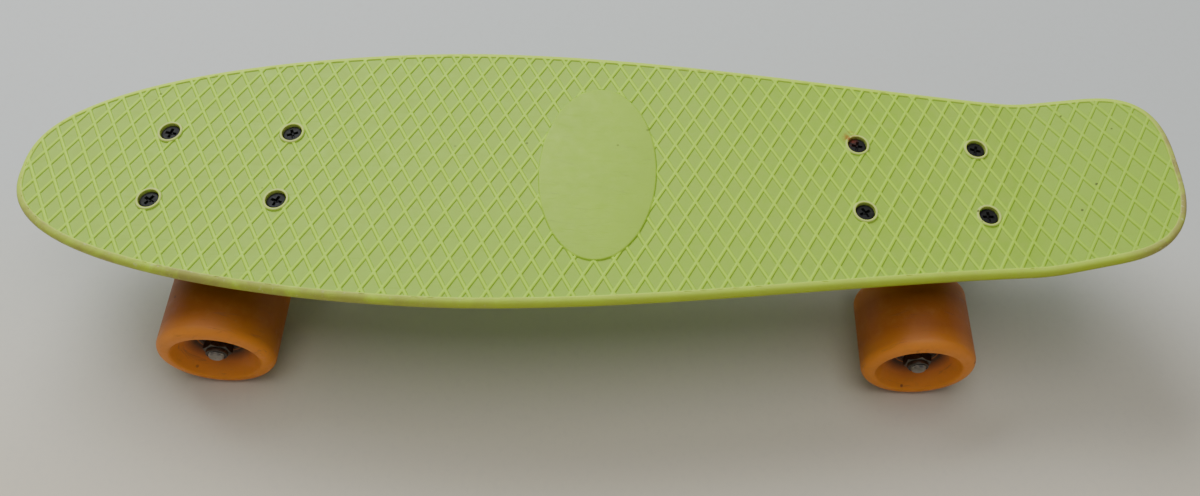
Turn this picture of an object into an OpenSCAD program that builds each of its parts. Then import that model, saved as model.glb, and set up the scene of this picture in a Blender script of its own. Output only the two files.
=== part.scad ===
// Small moulded-plastic cruiser skateboard with two sprung trucks and four
// urethane wheels on ball bearings. Millimetres. The origin is on the floor
// under the middle of the deck, +X runs towards the kicked tail, +Z is up.

/* [Deck] */
// Length of the deck seen from above
deck_l = 590; // [580:1:600]
// Width of the deck at its widest place
deck_w = 155; // [150:1:160]
// Height of the deck's top face above the floor, in its middle
deck_top = 88.5; // [88:0.1:90]
// Radius of the deck's gentle arch from nose to tail
camber_r = 7220; // [6500:10:9000]
// Depth of the deck over its ribs and at the trucks
deck_t = 10; // [9:0.5:10.5]
// Thickness of the deck's skin between the underside ribs
skin_t = 4.5; // [3.5:0.5:6]
// Place of the widest width along the deck
wide_x = -63; // [-70:1:-55]
// Half width of the deck where the tail kicks up
kick_half_w = 53.7; // [52:0.1:55]
// Place where the tail starts to curve up
kick_x = 216.5; // [210:0.5:218]
// Angle of the kicked tail
kick_angle = 17.5; // [14:0.5:20]
// Radius of the bend into the tail
kick_r = 55; // [30:1:60]

/* [Underside ribs] */
// Thickness of the underside ribs
rib_t = 2.4; // [2:0.1:3]
// Spacing of the cross ribs
rib_pitch = 40; // [30:1:50]
// Width of the solid rim around the underside, with its rounded edge
rim_w = 8; // [7:0.5:9]

/* [Truck bolts] */
// Centre of the front bolt pattern
front_x = -192; // [-196:1:-190]
// Centre of the rear bolt pattern
rear_x = 168; // [160:1:168]
// Spacing of the bolts along the deck
bolt_dx = 63.5; // [63:0.1:64]
// Spacing of the bolts across the deck
bolt_dy = 41.3; // [41:0.1:42]
// Diameter of the bolt shanks
bolt_d = 4.8; // [4.5:0.1:5]
// Diameter of the bolt heads
bolt_head_d = 9.6; // [9:0.1:10]
// Depth of the bolt heads below the deck's top face
bolt_sink = 1.3; // [1:0.1:1.8]
// Length of the bolts
bolt_l = 22.2; // [22:0.1:24]

/* [Trucks] */
// Distance of the axle from the bolt pattern's centre, towards the deck's middle
axle_in = 0; // [-1:0.5:3]
// Tilt of the kingpin from upright
kingpin_tilt = 25; // [23:1:27]
// Width of the hanger between its wheel faces
hanger_w = 92; // [90:0.5:97]
// Length of the axle
axle_l = 161; // [160:0.5:166]
// Height of the board-side bushing
lower_bushing_h = 12.4; // [12:0.1:13]
// Height of the road-side bushing
upper_bushing_h = 9.9; // [9:0.1:10.5]

/* [Wheels] */
// Diameter of the wheels
wheel_d = 59; // [58:0.5:60]
// Width of the wheels
wheel_w = 45; // [44:0.5:46]
// Diameter of the dish in the wheel's outer face
dish_d = 44; // [42:0.5:48]
// Radius of the rounded lips of the tread
lip_r = 5; // [3:0.5:6]

/* [Bearings] */
// Outer diameter of the ball bearings
bearing_d = 22; // [22:1:22]
// Bore of the ball bearings
bearing_bore = 8; // [8:1:8]
// Width of one ball bearing
bearing_w = 7; // [7:1:7]
// Length of the spacer between the two bearings of a wheel
spacer_l = 10; // [10:1:10]
// Balls in one bearing
ball_n = 7; // [6:1:7]

/* [Hidden] */
$fn = 64;
CORNERS = ["front_left", "front_right", "rear_left", "rear_right"];
ENDS = ["front", "rear"];
TRUCK_PARTS = ["baseplate", "pivot_cup", "kingpin", "kingpin_nut", "bottom_washer", "lower_bushing",
    "hanger", "upper_bushing", "top_washer", "axle"];
WHEEL_PARTS = ["wheel", "bearing_outer_rings", "bearing_inner_rings", "bearing_balls", "bearing_cages",
    "bearing_shields", "spacer", "speed_washers", "axle_nut"];

// Colours
DECK_GREEN = [0.50, 0.70, 0.13];
WHEEL_ORANGE = [0.83, 0.36, 0.16];
BOLT_BLACK = [0.08, 0.08, 0.09];
ZINC = [0.74, 0.74, 0.72];
CAST = [0.66, 0.67, 0.68];
BUSHING = [0.90, 0.88, 0.80];
CUP_BLACK = [0.12, 0.12, 0.13];
BALL_STEEL = [0.82, 0.83, 0.85];
CAGE_NYLON = [0.88, 0.86, 0.78];
SHIELD_BLACK = [0.16, 0.16, 0.18];

// Deck
pad_z = 76.2;
nose_l = wide_x + deck_l / 2;
nose_fine = 1.78;
nose_full = 0.40;
kick_slope = -0.08;
taper_end_x = 215;
tail_corner = 41;
tail_full = 3.0;
stations = 60;
// The rounded edge in steps: how far in, then its upper and lower depth below the top face
EDGE = [[5, 0, deck_t], [3.2, 0, 8], [1.2, 0.7, 6.4], [0.4, 1.5, 5.5], [0, 2.6, 4.4]];
bolt_head_h = 3;
bolt_nut_h = 5;
pad_l = 92;
pad_w = 64;
collar_d = 12.8;
collar_h = 0.6;
oval_l = 60;
oval_w = 105;
oval_h = 0.3;
rib_y = [-45, -15, 15, 45];

// Truck, in its own frame: +X points away from the deck's middle
axle_z = wheel_d / 2;
plate_l = 84;
plate_w = 60;
plate_t = 6;
plate_r = 9;
ring_x = -22;
ring_z = 44;
pivot_x = 18;
pivot_z = 65;
steer_tilt = atan2(pivot_x - ring_x, pivot_z - ring_z);
ring_t = 6.5;
ring_r = 13;
gap = 0.05;
washer_t = 1.2;
kingpin_r = 4.76;
seat_t = ring_t / 2 + gap + lower_bushing_h + gap + washer_t;
head_h = 5.5;
head_seat = 6;
nut_h = 9.5;
nut_t = ring_t / 2 + gap + upper_bushing_h + gap + washer_t;
kingpin_end = nut_t + nut_h + 2;
nose_r = 5.5;
cup_r = 7.5;
cup_back = 6;
cup_mouth = 4;
barrel_r = 8.5;
barrel_end_r = 7.2;
axle_r = 3.97;

// Wheel
wheel_y = hanger_w / 2 + 1 + bearing_w + spacer_l / 2;
seat_r = bearing_d / 2;
pack_h = spacer_l / 2 + bearing_w;
bearing_mid = spacer_l / 2 + bearing_w / 2;
pitch_r = (bearing_d + bearing_bore) / 4;
ball_r = 1.93;
race_r = 2.03;
land = 1.42;
washer_r = 5.1;

// Points of an arc of radius r about c, from angle a0 to a1 in n steps
function arc(c, r, a0, a1, n = 8) =
    [for (i = [0:n]) c + r * [cos(a0 + (a1 - a0) * i / n), sin(a0 + (a1 - a0) * i / n)]];
function rounded_rect(l, w, r) = concat(
    arc([l / 2 - r, w / 2 - r], r, 0, 90), arc([r - l / 2, w / 2 - r], r, 90, 180),
    arc([r - l / 2, r - w / 2], r, 180, 270), arc([l / 2 - r, r - w / 2], r, 270, 360));

// Half width of the deck at x: a full round nose, a cubic taper and a squared round tail
function nose_w(x) = deck_w / 2 * pow(max(0, 1 - pow((wide_x - x) / nose_l, nose_fine)), nose_full);
function taper_w(x) = let (l = taper_end_x - wide_x, t = (x - wide_x) / l)
    deck_w / 2 + (kick_half_w - deck_w / 2) * t * t * (3 - 2 * t) + kick_slope * l * t * t * (t - 1);
function tail_w(x) = kick_half_w + kick_slope * (x - taper_end_x);
function corner(x) = let (v = max(0, (x - deck_l / 2 + tail_corner) / tail_corner))
    pow(max(0, 1 - pow(v, tail_full)), 1 / tail_full);
function half_w(x) = x < wide_x ? nose_w(x) : (x < taper_end_x ? taper_w(x) : tail_w(x)) * corner(x);
function station(i) = -deck_l / 2 * cos(180 * i / stations);
function edge_at(i) = let (x = station(i)) [x, half_w(x)];
function edge_normal(i) = let (d = edge_at(min(i + 1, stations)) - edge_at(max(i - 1, 0)))
    [-d[1], d[0]] / norm(d);
function inset_edge(d) = [for (i = [0:stations])
    i == 0 ? [d - deck_l / 2, 0]
    : i == stations ? [deck_l / 2 - d, 0]
    : let (p = edge_at(i) - d * edge_normal(i)) [p[0], max(p[1], 0.01)]];
function outline(d) = let (e = inset_edge(d))
    concat(e, [for (i = [stations - 1:-1:1]) [e[i][0], -e[i][1]]]);

// The deck's long section, d above its top face: a gentle arch, a bend and a straight kicked tail
arch_c = [0, deck_top - camber_r];
kick_tilt = asin(kick_x / camber_r);
bend_c = arch_c + (camber_r + kick_r) * [sin(kick_tilt), cos(kick_tilt)];
function section(d) = let (a0 = 90 + asin(0.53 * deck_l / camber_r), bend = kick_r - d, run = deck_l / 4)
    concat(arc(arch_c, camber_r + d, a0, 90 - kick_tilt, 17),
        arc(bend_c, bend, -90 - kick_tilt, kick_angle - 90),
        [bend_c + bend * [sin(kick_angle), -cos(kick_angle)] + run * [cos(kick_angle), sin(kick_angle)]]);
function top_z(x) = deck_top - camber_r + sqrt(camber_r * camber_r - x * x);
function reversed(v) = [for (i = [len(v) - 1:-1:0]) v[i]];

module layer(lo, hi, inset) {
    intersection() {
        translate([0, 0, deck_top - 40])
            linear_extrude(120) polygon(outline(inset));
        rotate([90, 0, 0])
            linear_extrude(2 * deck_w, center = true) polygon(concat(section(lo), reversed(section(hi))));
    }
}

// Places its children at the eight bolts: from a fixed height, or from the deck's top face
module at_bolts(z = undef) {
    for (cx = [front_x, rear_x], sx = [-1, 1], sy = [-1, 1]) {
        x = cx + sx * bolt_dx / 2;
        translate([x, sy * bolt_dy / 2, is_undef(z) ? top_z(x) : z]) children();
    }
}

// Flat seats for the trucks, from z0 up to z1
module truck_seats(z0, z1) {
    for (x = [front_x, rear_x])
        translate([x - pad_l / 2, -pad_w / 2, z0]) cube([pad_l, pad_w, z1 - z0]);
}

module oval_plate() {
    translate([0, 0, deck_top - 1]) linear_extrude(1 + oval_h)
        polygon([for (a = [0:7.5:352.5]) [oval_l / 2 * cos(a), oval_w / 2 * sin(a)]]);
}

module underside_ribs() {
    for (y = rib_y)
        translate([-deck_l, y - rib_t / 2, 0]) cube([2 * deck_l, rib_t, 2 * deck_top]);
    for (x = [-6 * rib_pitch:rib_pitch:6 * rib_pitch])
        translate([x - rib_t / 2, -deck_w, 0]) cube([rib_t, 2 * deck_w, 2 * deck_top]);
    truck_seats(0, 2 * deck_top);
}

module deck() {
    color(DECK_GREEN) difference() {
        union() {
            for (e = EDGE) layer(-e[2], -e[1], e[0]);
            truck_seats(pad_z, pad_z + deck_t / 2);
            at_bolts() translate([0, 0, -1]) cylinder(d = collar_d, h = 1 + collar_h);
            oval_plate();
        }
        difference() {
            layer(-2 * deck_t, -skin_t, rim_w);
            underside_ribs();
        }
        truck_seats(pad_z - deck_t, pad_z);
        at_bolts() {
            translate([0, 0, -2 * deck_t]) cylinder(d = bolt_d + 0.5, h = 2 * deck_t);
            translate([0, 0, -bolt_sink - bolt_head_h]) cylinder(d = bolt_head_d + 0.7, h = 10);
        }
    }
}

// A bolt hanging from the deck's top face at z = 0
module deck_bolt() {
    translate([0, 0, -bolt_sink]) difference() {
        union() {
            translate([0, 0, -bolt_head_h]) cylinder(d = bolt_head_d, h = bolt_head_h);
            translate([0, 0, -bolt_l]) cylinder(d = bolt_d, h = bolt_l - 1);
        }
        for (a = [0, 90])
            rotate([0, 0, a]) cube([5.6, 1.2, 3.6], center = true);
    }
}

module hex_nut(across, h, hole_r) {
    difference() {
        cylinder(r = across / sqrt(3), h = h, $fn = 6);
        translate([0, 0, -1]) cylinder(r = hole_r, h = h + 2);
    }
}

module ring(r_out, r_in, h) {
    difference() {
        cylinder(r = r_out, h = h);
        translate([0, 0, -1]) cylinder(r = r_in, h = h + 2);
    }
}

// Places its children in the front or rear truck's frame
module on_truck(end) {
    if (end == "rear") translate([rear_x, 0, 0]) children();
    if (end == "front") translate([front_x, 0, 0]) mirror([1, 0, 0]) children();
}

// The kingpin's axis: z = 0 in the middle of the hanger's ring, +z towards the road
module on_kingpin() {
    translate([ring_x, 0, ring_z]) rotate([0, 180 + kingpin_tilt, 0]) children();
}

// The steering axis: z = 0 in the middle of the pivot, +z deeper into the cup
module on_pivot() {
    translate([pivot_x, 0, pivot_z]) rotate([0, steer_tilt, 0]) children();
}

module side_plate(points, w) {
    rotate([90, 0, 0]) linear_extrude(w, center = true) polygon(points);
}

module baseplate() {
    color(CAST) difference() {
        intersection() {
            union() {
                translate([0, 0, pad_z - plate_t])
                    linear_extrude(plate_t) polygon(rounded_rect(plate_l, plate_w, plate_r));
                on_kingpin() translate([0, 0, -seat_t - 30]) cylinder(r = ring_r, h = 30);
                on_pivot() translate([0, 0, -cup_mouth]) cylinder(r = 11, h = 16);
                side_plate([[-36, pad_z], [-26, 65], [-6, 62], [14, 63], [36, pad_z]], 9);
            }
            translate([-60, -50, 0]) cube([120, 100, pad_z]);
        }
        on_kingpin() translate([0, 0, -60]) cylinder(r = kingpin_r + 0.08, h = 60);
        on_kingpin() translate([0, 0, -seat_t - head_seat - 30])
            cylinder(r = 14.3 / sqrt(3) + 0.2, h = 30, $fn = 6);
        on_kingpin() translate([0, 0, -seat_t]) cylinder(r = 16, h = 30);
        on_pivot() translate([0, 0, -30]) cylinder(r = cup_r, h = 30 + cup_back);
        for (sx = [-1, 1], sy = [-1, 1])
            translate([sx * bolt_dx / 2, sy * bolt_dy / 2, pad_z - 20]) cylinder(d = bolt_d + 0.5, h = 30);
    }
}

module pivot_cup() {
    color(CUP_BLACK) on_pivot() difference() {
        translate([0, 0, -cup_mouth]) cylinder(r = cup_r - 0.02, h = cup_mouth + cup_back - 0.02);
        translate([0, 0, -cup_mouth - 1]) cylinder(r = nose_r + 0.1, h = cup_mouth + 5);
    }
}

module kingpin() {
    color(ZINC) on_kingpin() {
        translate([0, 0, -seat_t - head_seat - head_h + gap])
            cylinder(r = 14.3 / sqrt(3), h = head_h - gap, $fn = 6);
        translate([0, 0, -seat_t - head_seat - 1])
            cylinder(r = kingpin_r, h = seat_t + head_seat + 1 + kingpin_end);
    }
}

module kingpin_nut() {
    color(ZINC) on_kingpin() translate([0, 0, nut_t]) hex_nut(14.3, nut_h, kingpin_r + 0.03);
}

module cupped_washer(r) {
    difference() {
        cylinder(r = r, h = washer_t);
        translate([0, 0, -1]) cylinder(r = kingpin_r + 0.15, h = washer_t + 2);
    }
}

module bottom_washer() {
    color(ZINC) on_kingpin() translate([0, 0, -seat_t]) cupped_washer(12.5);
}

module top_washer() {
    color(ZINC) on_kingpin() translate([0, 0, nut_t - washer_t]) cupped_washer(11);
}

// A bushing of end radii r0 and r1 with a shallow waist
module bushing(h, r0, r1) {
    bore_r = kingpin_r + 0.15;
    rotate_extrude() polygon([[bore_r, 0], [r0 - 0.8, 0], [r0, 0.8], [r0, 2.6], [(r0 + r1) / 2 - 0.5, h / 2],
        [r1, h - 2.6], [r1, h - 0.8], [r1 - 0.8, h], [bore_r, h]]);
}

module lower_bushing() {
    color(BUSHING) on_kingpin() translate([0, 0, washer_t + gap - seat_t])
        bushing(lower_bushing_h, 11.6, 11.6);
}

module upper_bushing() {
    color(BUSHING) on_kingpin() translate([0, 0, ring_t / 2 + gap]) bushing(upper_bushing_h, 11.6, 9.6);
}

module axle_shaft(r, l) {
    rotate([90, 0, 0]) rotate_extrude()
        polygon([[0, -l / 2], [r - 0.8, -l / 2], [r, 0.8 - l / 2], [r, l / 2 - 0.8], [r - 0.8, l / 2], [0, l / 2]]);
}

module hanger() {
    half = hanger_w / 2;
    // Place of the axle along and off the kingpin's axis
    axle_off = (ring_x + axle_in) * cos(kingpin_tilt) - (ring_z - axle_z) * sin(kingpin_tilt);
    color(CAST) difference() {
        union() {
            translate([-axle_in, 0, axle_z]) rotate([90, 0, 0]) rotate_extrude()
                polygon([[0, -half], [barrel_end_r, -half], [barrel_end_r, 6 - half], [barrel_r, -20],
                    [barrel_r, 20], [barrel_end_r, half - 6], [barrel_end_r, half], [0, half]]);
            on_kingpin() translate([0, 0, -ring_t / 2]) {
                cylinder(r = ring_r, h = ring_t);
                linear_extrude(ring_t) polygon([[4, 12.4], [axle_off, 30], [axle_off, -30], [4, -12.4]]);
            }
            side_plate([[-8, 30], [-7, 39.5], [-0.5, 51.5], [4, 60.5], [14, 58.5], [9, 46], [4, 32]], 12);
            on_pivot() rotate_extrude() polygon([[0, -15], [7, -15], [7, -10], [nose_r, -6.5],
                [nose_r, 1], [nose_r - 2, 3.6], [0, 3.6]]);
        }
        on_kingpin() translate([0, 0, -ring_t]) cylinder(r = kingpin_r + 1.7, h = 2 * ring_t);
        on_kingpin() translate([0, 0, ring_t / 2]) cylinder(r = ring_r, h = 30);
        on_kingpin() translate([0, 0, -ring_t / 2 - 30]) cylinder(r = ring_r, h = 30);
        translate([-axle_in, 0, axle_z]) rotate([90, 0, 0])
            cylinder(r = axle_r + 0.02, h = hanger_w + 4, center = true);
    }
}

module axle() {
    color(ZINC) translate([-axle_in, 0, axle_z]) axle_shaft(axle_r, axle_l);
}

module truck_part(part) {
    if (part == "baseplate") baseplate();
    if (part == "pivot_cup") pivot_cup();
    if (part == "kingpin") kingpin();
    if (part == "kingpin_nut") kingpin_nut();
    if (part == "bottom_washer") bottom_washer();
    if (part == "lower_bushing") lower_bushing();
    if (part == "hanger") hanger();
    if (part == "upper_bushing") upper_bushing();
    if (part == "top_washer") top_washer();
    if (part == "axle") axle();
}

// Wheel parts are drawn about their own axis: z = 0 in the wheel's middle, +z outwards
module wheel_profile() {
    r = wheel_d / 2;
    h = wheel_w / 2;
    polygon(concat(
        arc([r - lip_r, h - lip_r], lip_r, 0, 90),
        [[dish_d / 2 + 0.8, h], [dish_d / 2, h - 0.6], [seat_r + 1.4, pack_h + 0.8], [seat_r + 0.6, pack_h],
            [seat_r, pack_h], [seat_r, spacer_l / 2], [9.4, spacer_l / 2],
            [9.4, -spacer_l / 2], [seat_r, -spacer_l / 2], [seat_r, -pack_h], [seat_r + 1, -pack_h],
            [seat_r + 6, 1.2 - h], [seat_r + 8, -h]],
        arc([r - lip_r, lip_r - h], lip_r, -90, 0)));
}

module wheel() {
    color(WHEEL_ORANGE) rotate_extrude() wheel_profile();
}

module both_bearings() {
    for (s = [-1, 1]) translate([0, 0, s * bearing_mid]) children();
}

module race(r_in, r_out) {
    rotate_extrude() difference() {
        translate([r_in, -bearing_w / 2]) square([r_out - r_in, bearing_w]);
        translate([pitch_r, 0]) circle(r = race_r);
    }
}

module bearing_outer_rings() {
    color(BALL_STEEL) both_bearings() race(pitch_r + land, seat_r - 0.02);
}

module bearing_inner_rings() {
    color(BALL_STEEL) both_bearings() race(bearing_bore / 2, pitch_r - land);
}

module balls(r) {
    for (i = [0:ball_n - 1]) rotate([0, 0, 360 * i / ball_n]) translate([pitch_r, 0, 0]) sphere(r = r);
}

module bearing_balls() {
    color(BALL_STEEL) both_bearings() balls(ball_r);
}

module bearing_cages() {
    color(CAGE_NYLON) both_bearings() difference() {
        translate([0, 0, -2.1]) ring(pitch_r + 1, pitch_r - 1, 3);
        balls(ball_r + 0.08);
    }
}

module bearing_shields() {
    color(SHIELD_BLACK) both_bearings() for (s = [-1, 1])
        translate([0, 0, s * 3 - 0.2]) ring(pitch_r + land - 0.02, pitch_r - land + 0.25, 0.4);
}

module spacer() {
    color(ZINC) translate([0, 0, gap - spacer_l / 2]) ring(washer_r, axle_r + 0.1, spacer_l - 2 * gap);
}

module speed_washers() {
    color(ZINC) {
        translate([0, 0, pack_h + gap]) ring(washer_r, axle_r + 0.1, 1 - gap);
        translate([0, 0, -pack_h - 1 + gap]) ring(washer_r, axle_r + 0.1, 1 - 2 * gap);
    }
}

module axle_nut() {
    color(ZINC) translate([0, 0, pack_h + 1 + gap]) hex_nut(12.7, 7, axle_r + 0.03);
}

module wheel_part(part) {
    if (part == "wheel") wheel();
    if (part == "bearing_outer_rings") bearing_outer_rings();
    if (part == "bearing_inner_rings") bearing_inner_rings();
    if (part == "bearing_balls") bearing_balls();
    if (part == "bearing_cages") bearing_cages();
    if (part == "bearing_shields") bearing_shields();
    if (part == "spacer") spacer();
    if (part == "speed_washers") speed_washers();
    if (part == "axle_nut") axle_nut();
}

// The nose points along -X, so the deck's left side is -Y
module on_wheel(corner) {
    front = corner == "front_left" || corner == "front_right";
    left = corner == "front_left" || corner == "rear_left";
    translate([front ? front_x + axle_in : rear_x - axle_in, (left ? -1 : 1) * wheel_y, axle_z])
        rotate([left ? 90 : -90, 0, 0]) children();
}

deck();
color(BOLT_BLACK) at_bolts() deck_bolt();  // deck_bolts
color(ZINC) at_bolts(pad_z - plate_t - bolt_nut_h) hex_nut(9.5, bolt_nut_h, bolt_d / 2 + 0.02);  // deck_nuts
for (e = ENDS, p = TRUCK_PARTS)
    on_truck(e) truck_part(p);
for (c = CORNERS, p = WHEEL_PARTS)
    on_wheel(c) wheel_part(p);
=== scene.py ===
import math

import bpy
import numpy as np
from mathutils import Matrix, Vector, geometry


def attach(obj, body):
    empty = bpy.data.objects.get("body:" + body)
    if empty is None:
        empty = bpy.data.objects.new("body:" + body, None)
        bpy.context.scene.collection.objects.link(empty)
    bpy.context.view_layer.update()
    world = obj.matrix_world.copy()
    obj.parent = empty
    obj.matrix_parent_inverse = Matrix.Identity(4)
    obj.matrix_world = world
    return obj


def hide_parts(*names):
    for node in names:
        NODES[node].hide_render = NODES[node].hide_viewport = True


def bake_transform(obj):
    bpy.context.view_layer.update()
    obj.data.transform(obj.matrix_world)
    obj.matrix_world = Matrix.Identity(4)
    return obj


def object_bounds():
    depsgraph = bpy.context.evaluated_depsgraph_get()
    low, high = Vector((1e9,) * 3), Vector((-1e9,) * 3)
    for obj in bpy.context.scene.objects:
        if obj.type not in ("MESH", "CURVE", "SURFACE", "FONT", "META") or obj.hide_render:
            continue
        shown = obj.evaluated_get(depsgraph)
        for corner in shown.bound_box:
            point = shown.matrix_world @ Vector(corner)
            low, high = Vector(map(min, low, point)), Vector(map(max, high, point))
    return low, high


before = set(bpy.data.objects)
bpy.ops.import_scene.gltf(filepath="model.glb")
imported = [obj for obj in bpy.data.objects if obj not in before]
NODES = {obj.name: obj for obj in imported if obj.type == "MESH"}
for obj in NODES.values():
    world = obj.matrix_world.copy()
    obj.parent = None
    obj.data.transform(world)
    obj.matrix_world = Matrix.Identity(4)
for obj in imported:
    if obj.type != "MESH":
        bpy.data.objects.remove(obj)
cad_low, cad_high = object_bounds()
MM = 0.001

# ---------------------------------------------------------------- sizes, in mm
# The deck's outline and long section repeat the functions of the CAD source
DECK_L = 590
DECK_W = 155
DECK_TOP = 88.5
CAMBER_R = 7220
DECK_T = 10
SKIN_T = 4.5
WIDE_X = -63
NOSE_L = WIDE_X + DECK_L / 2
NOSE_FINE, NOSE_FULL = 1.78, 0.40
KICK_HALF_W = 53.7
KICK_X = 216.5
KICK_ANGLE = math.radians(17.5)
KICK_R = 55
KICK_SLOPE = -0.08
TAPER_END_X = 215
TAIL_CORNER, TAIL_FULL = 41, 3.0
BEAD_R, BEAD_T = 3.2, 7.0
FOOT_IN = 5.2
RIM_W = 8
RIB_T = 2.4
RIB_PITCH = 40
RIB_Y = (-45, -15, 15, 45)
PAD_Z = 76.2
PAD_L, PAD_W = 92, 64
FRONT_X, REAR_X = -192, 168
BOLT_DX, BOLT_DY = 63.5, 41.3
BOLT_SINK = 1.3
BOLT_HEAD_R, BOLT_HEAD_H = 4.8, 3.0
BOLT_R, BOLT_L = 2.4, 22.2
BOLT_PLAIN, BOLT_PITCH = 9.0, 0.8
BOLT_NUT = (9.5, 5)
PLATE_T = 6
STATIONS = 240
ROUND = 48

# The raised lattice of the deck's top face
LATTICE = 10.0
LATTICE_SLOPE = 1.742
RIB_HALF = (0.38, 0.64, 1.05)
RIB_RISE = (0.0, -0.12, -0.65)
RIM_AT = (2.9, 3.2, 3.5, 3.9)
RIM_RISE = (-0.014, 0.0, -0.12, -0.65)
CELL_FLOOR = -0.65
OVAL_A, OVAL_B, OVAL_Z = 30.0, 52.5, 88.8
COLLAR_AT = (5.15, 5.3, 5.5, 5.95, 6.2, 6.4, 6.7)
COLLAR_RISE = (0.25, 0.44, 0.50, 0.50, 0.38, 0.05, -0.65)
COLLAR_MEETS_RIBS = 6.35
OVAL_AT = (-0.6, -0.2, 0.0, 0.45)
OVAL_RISE = (0, -0.05, -0.22, -1.5)
SINK_R, SINK_FLOOR = 5.15, -4.3
HOLE_R = 2.65

BOLTS = [(cx + sx * BOLT_DX / 2, sy * BOLT_DY / 2)
         for cx in (FRONT_X, REAR_X) for sx in (-1, 1) for sy in (-1, 1)]


# ---------------------------------------------------------------- the deck's shape
def half_width(x):
    """Half width of the deck at x."""
    x = np.asarray(x, float)
    nose = DECK_W / 2 * (1 - np.clip((WIDE_X - x) / NOSE_L, 0, 1) ** NOSE_FINE) ** NOSE_FULL
    run = TAPER_END_X - WIDE_X
    t = (x - WIDE_X) / run
    taper = (DECK_W / 2 + (KICK_HALF_W - DECK_W / 2) * t * t * (3 - 2 * t)
             + KICK_SLOPE * run * t * t * (t - 1))
    tail = KICK_HALF_W + KICK_SLOPE * (x - TAPER_END_X)
    v = np.clip((x - DECK_L / 2 + TAIL_CORNER) / TAIL_CORNER, 0, 1)
    corner = (1 - v ** TAIL_FULL) ** (1 / TAIL_FULL)
    return np.where(x < WIDE_X, nose, np.where(x < TAPER_END_X, taper, tail) * corner)


def outline(inset):
    """Closed outline of the deck seen from above, moved inwards: from the nose, along +Y first."""
    i = np.arange(STATIONS + 1)
    x = -DECK_L / 2 * np.cos(np.pi * i / STATIONS)
    edge = np.column_stack([x, half_width(x)])
    step = np.vstack([edge[1] - edge[0], edge[2:] - edge[:-2], edge[-1] - edge[-2]])
    normal = np.column_stack([-step[:, 1], step[:, 0]]) / np.linalg.norm(step, axis=1)[:, None]
    edge = edge - inset * normal
    edge[:, 1] = np.maximum(edge[:, 1], 0.01)
    edge[0] = (inset - DECK_L / 2, 0)
    edge[-1] = (DECK_L / 2 - inset, 0)
    return np.vstack([edge, edge[-2:0:-1] * (1, -1)])


def section_z(x, rise=0.0):
    """Height of the deck's long section at x, for a layer that is rise above the top face."""
    x = np.asarray(x, float)
    tilt = math.asin(KICK_X / CAMBER_R)
    arch_z = DECK_TOP - CAMBER_R
    bend_x = (CAMBER_R + KICK_R) * math.sin(tilt)
    bend_z = arch_z + (CAMBER_R + KICK_R) * math.cos(tilt)
    arch_r = CAMBER_R + rise
    bend_r = KICK_R - rise
    end_x = bend_x + bend_r * math.sin(KICK_ANGLE)
    arch = arch_z + np.sqrt(arch_r ** 2 - x ** 2)
    bend = bend_z - np.sqrt(np.maximum(bend_r ** 2 - (x - bend_x) ** 2, 0))
    tail = bend_z - bend_r * math.cos(KICK_ANGLE) + (x - end_x) * math.tan(KICK_ANGLE)
    return np.where(x < arch_r * math.sin(tilt), arch, np.where(x < end_x, bend, tail))


def distance_inside(points):
    """Distance of each point from the deck's outline."""
    loop = outline(0)
    a, d = loop, np.roll(loop, -1, axis=0) - loop
    best = np.full(len(points), 1e9)
    for start, run in zip(a, d):
        near = np.abs(points[:, 0] - start[0] - run[0] / 2) < 14
        p = points[near] - start
        t = np.clip(p @ run / (run @ run), 0, 1)
        gap = np.hypot(*(p - t[:, None] * run).T)
        best[near] = np.minimum(best[near], gap)
    return best


def circle(cx, cy, r, n=ROUND):
    a = 2 * np.pi * np.arange(n) / n
    return np.column_stack([cx + r * np.cos(a), cy + r * np.sin(a)])


def oval_loop(out, n=120):
    a = 2 * np.pi * np.arange(n) / n
    normal = np.column_stack([np.cos(a) / OVAL_A, np.sin(a) / OVAL_B])
    normal /= np.linalg.norm(normal, axis=1)[:, None]
    return np.column_stack([OVAL_A * np.cos(a), OVAL_B * np.sin(a)]) + out * normal


def oval_distance(p):
    """About how far each point lies outside the oval."""
    f = np.hypot(p[:, 0] / OVAL_A, p[:, 1] / OVAL_B)
    slope = np.hypot(p[:, 0] / OVAL_A ** 2, p[:, 1] / OVAL_B ** 2) / np.maximum(f, 1e-6)
    return (f - 1) / np.maximum(slope, 1e-6)


def spans(point, run, loop, discs=(), oval=None):
    """Pieces of a line, through point along run, that lie inside a loop and outside discs and the oval."""
    a, b = loop, np.roll(loop, -1, axis=0)
    across = np.array([-run[1], run[0]])
    da, db = (a - point) @ across, (b - point) @ across
    cut = (da < 0) != (db < 0)
    share = (da[cut] / (da[cut] - db[cut]))[:, None]
    t = np.sort(((a[cut] + share * (b[cut] - a[cut])) - point) @ run)
    keep = [(t[i], t[i + 1]) for i in range(0, len(t) - 1, 2)]
    blocked = []
    for cx, cy, r in discs:
        c = np.array([cx, cy]) - point
        off = r * r - (c @ across) ** 2
        if off > 0:
            blocked.append((c @ run - math.sqrt(off), c @ run + math.sqrt(off)))
    if oval is not None:
        scale = np.array([1 / (OVAL_A + oval), 1 / (OVAL_B + oval)])
        p, d = point * scale, run * scale
        qa, qb, qc = d @ d, 2 * (p @ d), p @ p - 1
        root = qb * qb - 4 * qa * qc
        if root > 0:
            blocked.append(((-qb - math.sqrt(root)) / (2 * qa), (-qb + math.sqrt(root)) / (2 * qa)))
    for lo, hi in blocked:
        keep = [part for s, e in keep for part in ((s, min(e, lo)), (max(s, hi), e))]
        keep = [(s, e) for s, e in keep if e - s > 0.05]
    return [(point + s * run, point + e * run) for s, e in keep]


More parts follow.
